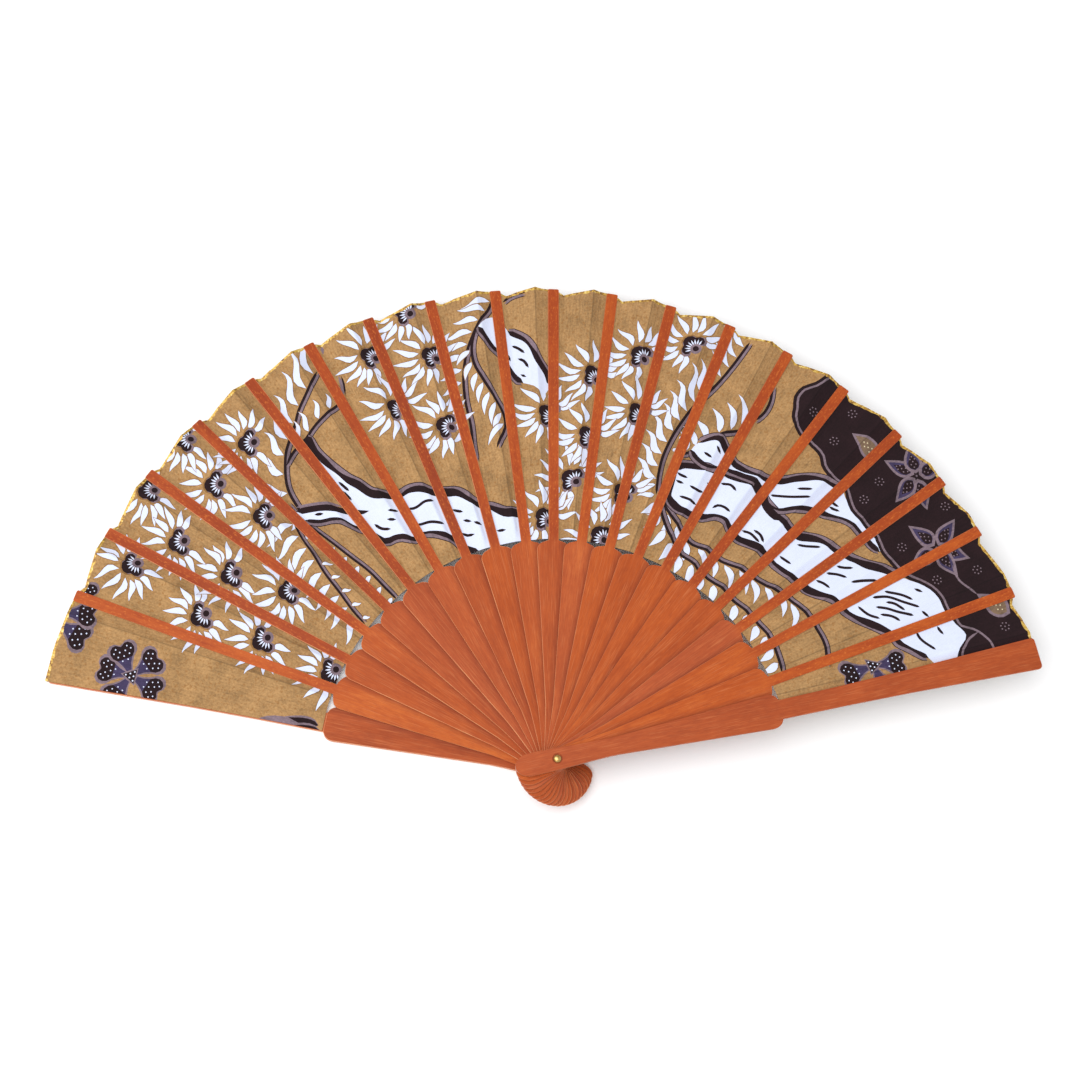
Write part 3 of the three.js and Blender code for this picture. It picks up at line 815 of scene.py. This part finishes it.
class Nodes:
    """A material and its node tree."""

    def __init__(self, name):
        self.material = bpy.data.materials.new(name)
        self.material.use_nodes = True
        self.tree = self.material.node_tree
        self.tree.nodes.clear()
        self.shader = self.tree.nodes.new("ShaderNodeBsdfPrincipled")
        output = self.tree.nodes.new("ShaderNodeOutputMaterial")
        self.feed(output.inputs["Surface"], self.shader.outputs[0])

    def feed(self, socket, value):
        """Links a socket to an output, or sets its own value."""
        if hasattr(value, "is_output"):
            self.tree.links.new(value, socket)
        else:
            socket.default_value = value

    def node(self, kind, values=None, **settings):
        made = self.tree.nodes.new(f"ShaderNode{kind}")
        for key, value in settings.items():
            setattr(made, key, value)
        for key, value in (values or {}).items():
            self.feed(made.inputs[key], value)
        return made

    def mapped(self, source, scale, turn=0.0, shift=(0, 0, 0)):
        """Texture coordinates, turned about Z and then scaled."""
        coordinates = self.node("TexCoord").outputs[source]
        spun = self.node("Mapping", {"Vector": coordinates, "Rotation": (0, 0, radians(turn)),
                                     "Location": shift})
        return self.node("Mapping", {"Vector": spun.outputs[0], "Scale": scale}).outputs[0]

    def on_stick(self, k):
        """How far a point is out along stick k, to its left and up, in metres."""
        return self.node("SeparateXYZ", {0: self.mapped("Object", (1, 1, 1), -ANGLES[k])}).outputs

    def noise(self, vector, scale=1.0, detail=3.0, roughness=0.5, distortion=0.0):
        return self.node("TexNoise", {"Vector": vector, "Scale": scale, "Detail": detail,
                                      "Roughness": roughness, "Distortion": distortion}).outputs["Fac"]

    def wave(self, vector, direction, scale, distortion):
        values = {"Vector": vector, "Scale": scale, "Distortion": distortion, "Detail": 2.0,
                  "Detail Scale": 1.2}
        return self.node("TexWave", values, bands_direction=direction).outputs["Fac"]

    def fit(self, value, low, high, to_low=0.0, to_high=1.0):
        return self.node("MapRange", {"Value": value, "From Min": low, "From Max": high,
                                      "To Min": to_low, "To Max": to_high}).outputs[0]

    def maths(self, operation, a, b):
        return self.node("Math", {0: a, 1: b}, operation=operation).outputs[0]

    def total(self, first, *others):
        """The sum of values, each given with its weight."""
        result = self.maths("MULTIPLY", *first)
        for part in others:
            result = self.maths("ADD", result, self.maths("MULTIPLY", *part))
        return result

    def mix(self, share, a, b, blend_type="MIX"):
        made = self.node("Mix", data_type="RGBA", blend_type=blend_type)
        for index, value in ((0, share), (6, a), (7, b)):
            self.feed(made.inputs[index], value)
        return made.outputs[2]

    def ramp(self, value, stops):
        made = self.node("ValToRGB", {"Fac": value})
        elements = made.color_ramp.elements
        while len(elements) < len(stops):
            elements.new(0.5)
        for element, (place, colour) in zip(elements, stops):
            element.position, element.color = place, linear(colour)
        return made.outputs["Color"]

    def bump(self, height, strength, distance):
        made = self.node("Bump", {"Height": height, "Strength": strength, "Distance": distance})
        self.feed(self.shader.inputs["Normal"], made.outputs[0])

    def set(self, **values):
        for key, value in values.items():
            self.feed(self.shader.inputs[key.replace("_", " ")], value)


def cloth_material(name, colour, spread, fleck=None):
    """Dyed plain-weave cotton: threads, uneven dye with small flecks, painted shade along the ridge's
    crease, and a paler print on the back.
    Spread is how far the dye goes to each side of its colour."""
    n = Nodes(name)
    threads = n.mapped("UV", (1, 1, 1))
    warp = n.wave(threads, "X", 6.2, 1.1)
    weft = n.wave(threads, "Y", 5.6, 1.3)
    weave = n.maths("MULTIPLY", n.maths("ADD", warp, 0.25), n.maths("ADD", weft, 0.25))
    place = n.mapped("Object", (1000, 1000, 1000))
    mottle = n.noise(place, 0.11, 4.0, 0.6)
    slub = n.noise(n.mapped("UV", (9, 0.9, 1)), 1.6, 3.0, 0.6)
    grit = n.noise(place, 1.1, 3.0, 0.75)
    tone = n.total((mottle, 0.35), (slub, 0.25), (grit, 0.4))
    light = scaled(colour, 1 + spread, 3)
    deep = scaled(colour, 1 - spread * 1.6)
    dyed = n.ramp(tone, [(0.36, deep), (0.5, colour), (0.64, light)])
    if fleck:
        dyed = n.mix(n.fit(n.noise(place, 0.85, 2.0, 0.6, 0.4), 0.54, 0.68, 0.0, 0.65), dyed, linear(fleck))
    dyed = n.mix(n.fit(weave, 0.05, 0.9, 0.22, 0.0), dyed, linear(scaled(colour, 0.74)))
    crease_shade = n.node("Attribute", attribute_name="crease_shade").outputs["Fac"]
    # painted shade along the ridge's crease
    dyed = n.mix(n.maths("MULTIPLY", crease_shade, CREASE_SHADE * spread), dyed, linear(scaled(colour, 0.6)))
    back = n.node("Attribute", attribute_name="cloth_back").outputs["Fac"]
    washed = n.mix(0.45, dyed, linear((176, 146, 98)))
    n.set(Base_Color=n.mix(back, dyed, washed), Roughness=0.88, Specular_IOR_Level=0.22)
    n.bump(weave, 0.3, 0.00007)
    return n.material


def gilt_material():
    """Gold paint on the rim, rubbed and uneven, with painted glints in its palest flecks."""
    n = Nodes("print_gold")
    place = n.mapped("Object", (1000, 1000, 1000))
    wear_and_glint = n.noise(place, 0.75, 3.0, 0.65, 0.5)
    # the darkest stops are rubbed paint; the palest, near white, are painted glints
    colour = n.ramp(wear_and_glint, [(0.36, (116, 74, 30)), (0.46, (196, 146, 54)), (0.58, (238, 198, 92)),
                           (0.70, (255, 238, 176))])
    n.set(Base_Color=colour, Metallic=0.25, Roughness=0.42)
    n.bump(wear_and_glint, 0.4, 0.0002)
    return n.material


STICK_TONES = {  # of the sticks that stand out: how light, and how orange
    0: (-0.05, 0.4), 1: (0.07, 1.0), 7: (-0.08, 0.6), 17: (0.0, 0.0), 18: (0.03, 1.0), 19: (0.06, 1.0),
    20: (-0.045, 0.2),
}


def painted_shade_beside_next_blade(n, k):
    """Share of the painted shade, a dark band on stick k's blade beside the next blade's edge."""
    out, left, _ = n.on_stick(k + 1)
    widening = (SHOULDER[1] - WAIST[1]) / (SHOULDER[0] - WAIST[0])
    start = (WAIST[1] - widening * WAIST[0]) * MM
    past_edge = n.maths("SUBTRACT", left, n.maths("MULTIPLY", out, widening))
    band = n.fit(past_edge, start, start + SHADE_BAND * MM, 0.42, 0.0)
    return n.maths("MULTIPLY", band, n.fit(out, 0.012, 0.03))


def wood_material(name, k):
    """Oiled sandalwood with its grain along stick k, and painted shade beside the next blade. A rib's strip
    is stained deeper than its blade.
    """
    n = Nodes(name)
    chance = random.Random(40 + k)
    shift = tuple(chance.uniform(-0.4, 0.4) for _ in range(3))
    tone, warm = STICK_TONES.get(k, (chance.uniform(-0.05, 0.05), chance.uniform(0, 1)))

    def grain(along, across, detail, roughness, distortion=0.0):
        """Noise, by how many grains to the metre."""
        place = n.mapped("Object", (along, across, across), -ANGLES[k], shift)
        return n.noise(place, 1.0, detail, roughness, distortion)

    streak = grain(10, 210, 4.0, 0.55, 0.3)
    fine = grain(110, 1500, 3.0, 0.6)
    cloud = grain(38, 75, 3.0, 0.6)
    mottle = grain(300, 700, 4.0, 0.7)
    value = n.maths("ADD", n.total((streak, 0.24), (fine, 0.2), (cloud, 0.34), (mottle, 0.22)), tone)
    stops = [(0.32, (160, 66, 19)), (0.45, (180, 79, 25)), (0.55, (192, 88, 31)), (0.68, (212, 109, 44))]
    stops = [(at, (red + 5 * warm, green, blue + 9 - 18 * warm)) for at, (red, green, blue) in stops]
    colour = n.ramp(value, stops)
    pores = grain(260, 5200, 2.0, 0.5)
    colour = n.mix(n.fit(pores, 0.34, 0.46, 0.28, 0.0), colour, linear((138, 58, 28)))
    rays = grain(95, 3600, 2.0, 0.5)
    colour = n.mix(n.fit(rays, 0.55, 0.7, 0.0, 0.42), colour, linear((226, 134, 80)))
    if k < FRONT:
        # painted shade: the blade darkens beside the edge of the next blade, which lies over it
        colour = n.mix(painted_shade_beside_next_blade(n, k), colour, linear((112, 40, 18)))
    if k not in (0, FRONT):
        stain = n.ramp(value, [(0.34, (152, 56, 12)), (0.5, (175, 70, 15)), (0.64, (202, 93, 24))])
        spots = grain(650, 1500, 2.0, 0.6)
        stain = n.mix(n.fit(spots, 0.56, 0.7, 0.0, 0.6), stain, linear((228, 124, 48)))
        colour = n.mix(n.fit(n.on_stick(k)[0], 0.0935, 0.0985), colour, stain)
    n.set(Base_Color=colour, Roughness=n.fit(streak, 0.3, 0.7, 0.58, 0.46), Specular_IOR_Level=0.25,
          Coat_Weight=0.03, Coat_Roughness=0.4)
    n.bump(n.total((fine, 0.6), (streak, 0.4)), 0.2, 0.0001)
    return n.material


def edge_material(name, k):
    """The sanded edges of stick k, paler wood, with a painted highlight that grows towards the fan's left
    side.
    """
    n = Nodes(name)
    # painted highlight: the edges grow paler stick by stick towards the fan's left side
    highlight = min(1, max(0, (HIGHLIGHT_FROM - k) / (HIGHLIGHT_FROM - HIGHLIGHT_TO)))
    low = (180 + 32 * highlight, 84 + 30 * highlight, 38 + 24 * highlight)
    high = (206 + 34 * highlight, 114 + 46 * highlight, 64 + 40 * highlight)
    streak = n.noise(n.mapped("Object", (60, 500, 500), -ANGLES[k]), 1.0, 3.0, 0.6)
    n.set(Base_Color=n.ramp(streak, [(0.35, low), (0.65, high)]), Roughness=0.5)
    n.bump(streak, 0.2, 0.00005)
    return n.material


def brass_material():
    n = Nodes("aged_brass")
    place = n.mapped("Object", (1000, 1000, 1000))
    tarnish = n.noise(place, 0.9, 4.0, 0.6)
    scratch = n.noise(n.mapped("Object", (900, 9000, 3000), 30), 1.0, 2.0, 0.6)
    n.set(Base_Color=n.ramp(tarnish, [(0.35, (176, 128, 66)), (0.6, (244, 206, 132))]), Metallic=1.0,
          Roughness=n.fit(tarnish, 0.3, 0.7, 0.5, 0.24))
    n.bump(scratch, 0.15, 0.00004)
    return n.material


def modify(node, kind, **settings):
    made = node.modifiers.new(kind.lower(), kind)
    for key, value in settings.items():
        setattr(made, key, value)


def dress(node, *materials):
    """Gives a CAD node its materials, and joins its faces."""
    node.data.materials.clear()
    for material in materials:
        node.data.materials.append(material)
    modify(node, "WELD", merge_threshold=1e-6)


def finish_sticks():
    """Grain and softened edges for each stick, and brass for the rivet."""
    for k in range(FRONT + 1):
        node = frame["nodes"][stick_name(k)]
        dress(node, wood_material(f"sandalwood_{k:02d}", k), edge_material(f"sandalwood_edge_{k:02d}", k))
        for face in node.data.polygons:
            face.material_index = 1 if abs(face.normal.z) < 0.5 else 0
        modify(node, "DECIMATE", decimate_type="DISSOLVE", angle_limit=radians(0.5))
        modify(node, "BEVEL", width=EASED * MM, segments=2, limit_method="ANGLE",
               angle_limit=radians(50), material=1)
    brass = brass_material()
    for name in ("rivet_pin", "rivet_head_front", "rivet_head_rear"):
        node = frame["nodes"][name]
        dress(node, brass)
        node.data.polygons.foreach_set("use_smooth", [name == "rivet_head_front"] * len(node.data.polygons))


def finish_leaf():
    """The print's materials, in the order of COLOURS, and the pieces of cloth."""
    materials = []
    for name, dye in DYES.items():
        spread = 0.015 if name == "white" else 0.15
        fleck = (164, 112, 58) if name == "ground" else None
        materials.append(cloth_material(f"print_{name}", dye, spread, fleck))
    materials.append(gilt_material())
    for k in range(FRONT):
        leaf_piece(k, materials)


finish_sticks()
finish_leaf()


# ---- camera, floor and light, in metres ----
LENS = 70.9
CAMERA_AT = (-0.0984, -0.1534, 0.8719)
CAMERA_TARGET = (-0.0058, 0.0956, 0.012)
FLOOR_HALF = 3.0
SKY = 0.66
LAMP_AT = (-0.5, -0.12, 1.25)
LAMP_TARGET = (0, 0.1, 0)
LAMP_SIZE = 1.5
LAMP_POWER = 17


def look_at(thing, place, target):
    """Turns a camera or lamp at place so that it faces target with +Y up."""
    back = (Vector(place) - Vector(target)).normalized()
    side = Vector((0, 1, 0)).cross(back).normalized()
    up = back.cross(side)
    thing.matrix_world = Matrix.Translation(place) @ Matrix((side, up, back)).transposed().to_4x4()


def add_camera():
    data = bpy.data.cameras.new("camera")
    data.lens = LENS
    data.clip_end = 10
    camera = new_object(data)
    look_at(camera, CAMERA_AT, CAMERA_TARGET)
    bpy.context.scene.camera = camera


def add_lamp():
    data = bpy.data.lights.new("key", "AREA")
    data.shape = "DISK"
    data.size = LAMP_SIZE
    data.energy = LAMP_POWER
    look_at(new_object(data), LAMP_AT, LAMP_TARGET)


def add_floor():
    mesh = bpy.data.meshes.new("floor")
    corners = [(x * FLOOR_HALF, y * FLOOR_HALF, 0) for x, y in ((-1, -1), (1, -1), (1, 1), (-1, 1))]
    mesh.from_pydata(corners, [], [(0, 1, 2, 3)])
    n = Nodes("pale_floor")
    n.set(Base_Color=linear((254, 254, 255), 1), Roughness=0.9)
    mesh.materials.append(n.material)
    floor = new_object(mesh)


def add_world():
    world = bpy.data.worlds.new("studio")
    world.use_nodes = True
    sky = world.node_tree.nodes["Background"]
    sky.inputs["Color"].default_value = (1.0, 1.0, 1.0, 1)
    sky.inputs["Strength"].default_value = SKY
    bpy.context.scene.world = world


add_camera()
add_floor()
add_world()
add_lamp()
bpy.context.scene.view_settings.view_transform = "Standard"
